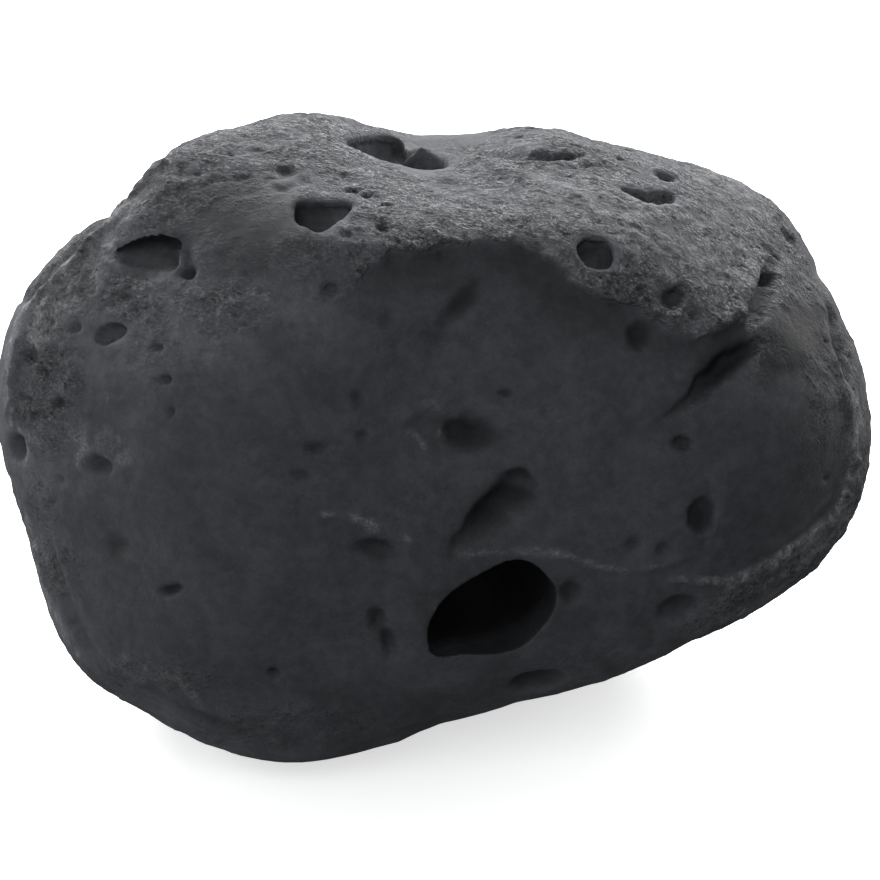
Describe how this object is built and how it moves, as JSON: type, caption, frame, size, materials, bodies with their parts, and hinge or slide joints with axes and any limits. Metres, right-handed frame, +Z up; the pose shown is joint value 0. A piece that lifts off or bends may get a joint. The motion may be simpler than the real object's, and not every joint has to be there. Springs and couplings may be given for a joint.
{
  "type": "river rock",
  "caption": "Dark, rounded, pitted volcanic river stone with one large gas pit low on the front and a worn flat underneath that it rests on.",
  "frame": {"origin": "centre of the bounding box in plan, at the level of the flat underside", "axes": "+X along the stone's length to its right end, -Y to the front with the large pit, +Z up"},
  "size_m": [0.1916, 0.1368, 0.1331],
  "materials": {
    "stone": "dry, matt, water-worn dark grey vesicular basalt"
  },
  "bodies": {
    "root": {"stone": "stone"}
  },
  "joints": []
}
